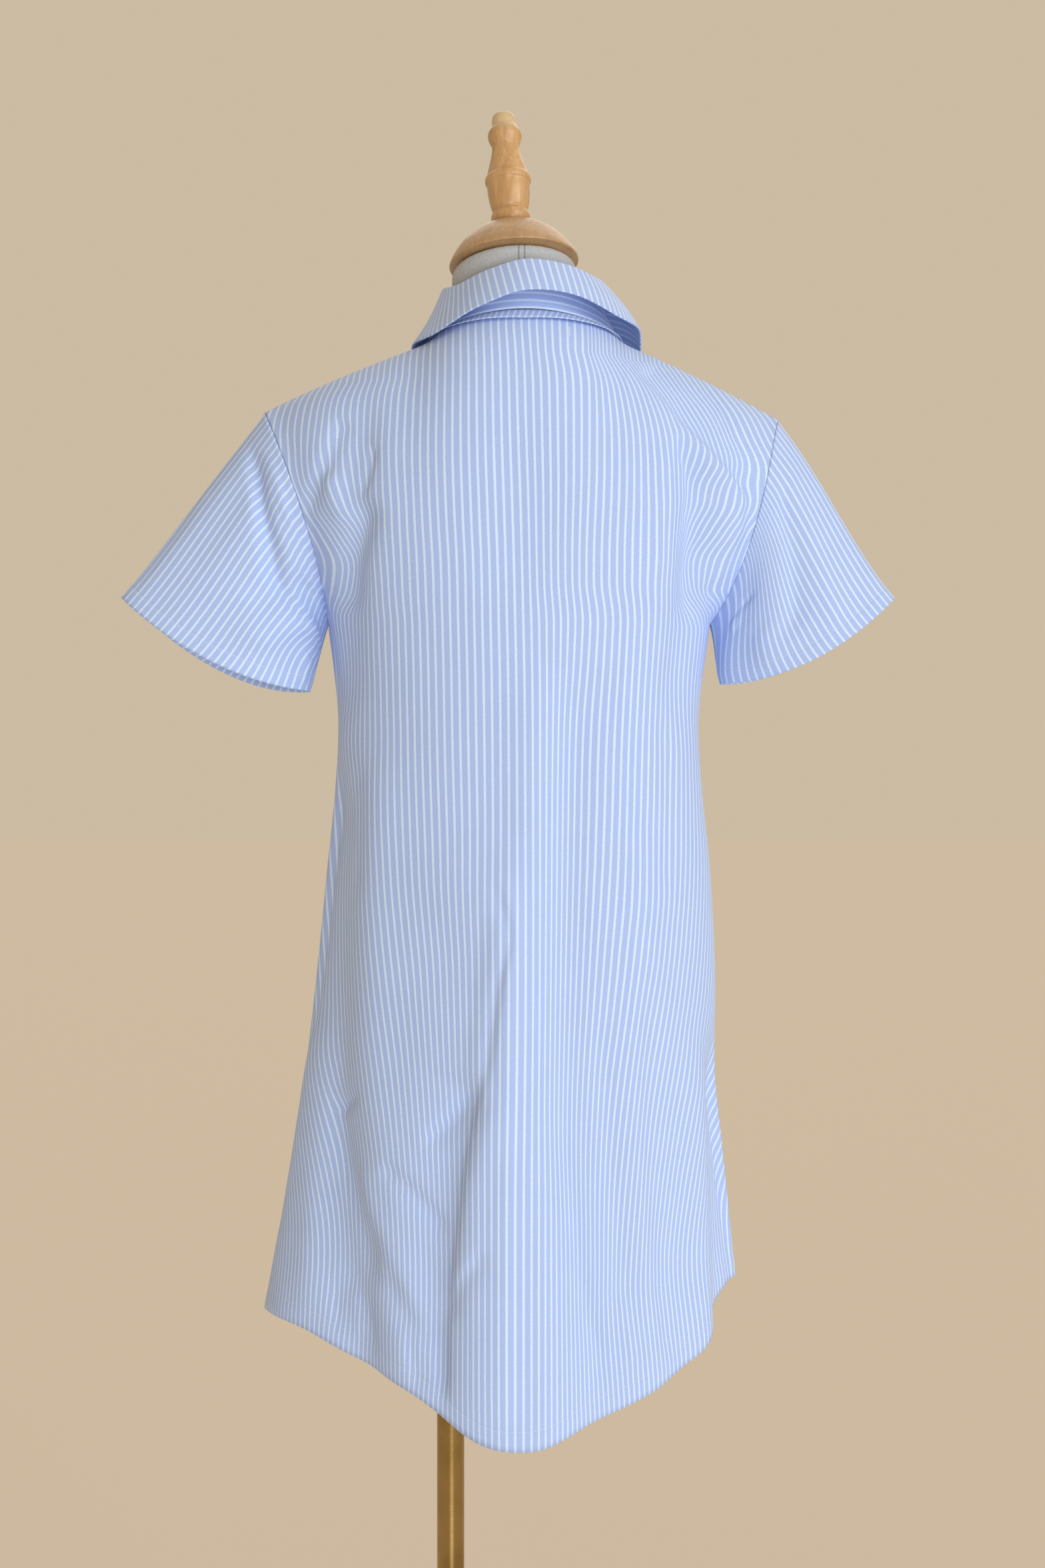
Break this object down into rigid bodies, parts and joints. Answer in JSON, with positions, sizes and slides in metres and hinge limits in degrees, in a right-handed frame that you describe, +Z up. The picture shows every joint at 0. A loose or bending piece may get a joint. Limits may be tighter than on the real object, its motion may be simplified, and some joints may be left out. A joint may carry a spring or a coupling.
{
  "type": "shirt dress on a limbless dress form with a pole stand",
  "caption": "Short-sleeved button-through shirt dress in striped cotton, worn by a limbless dress form on a pole stand.",
  "frame": {"origin": "on the floor, at the pole's axis, on the underside of the round base", "axes": "+Z up the pole, +Y the way the dress's buttoned front faces, +X the wearer's right"},
  "size_m": [0.62, 0.31, 1.574],
  "materials": {
    "striped_cotton": "light blue cotton shirting with narrow white stripes",
    "button": "pale pearly buttons",
    "form_cover": "stretched grey linen cover",
    "turned_wood": "varnished turned rubberwood",
    "brass": "satin brass"
  },
  "bodies": {
    "root": {"back_panel": "striped_cotton", "front_left": "striped_cotton", "front_right": "striped_cotton", "button_band": "striped_cotton", "sleeve_left": "striped_cotton", "sleeve_right": "striped_cotton", "collar_stand": "striped_cotton", "collar_fall": "striped_cotton", "neck_binding": "striped_cotton", "button_1": "button", "button_2": "button", "button_3": "button", "button_4": "button", "button_5": "button", "button_6": "button", "button_7": "button", "form_torso": "form_cover", "neck_cap": "turned_wood", "neck_cap_finial": "turned_wood", "stand_pole": "brass", "stand_socket": "brass", "stand_base": "brass"}
  },
  "joints": []
}
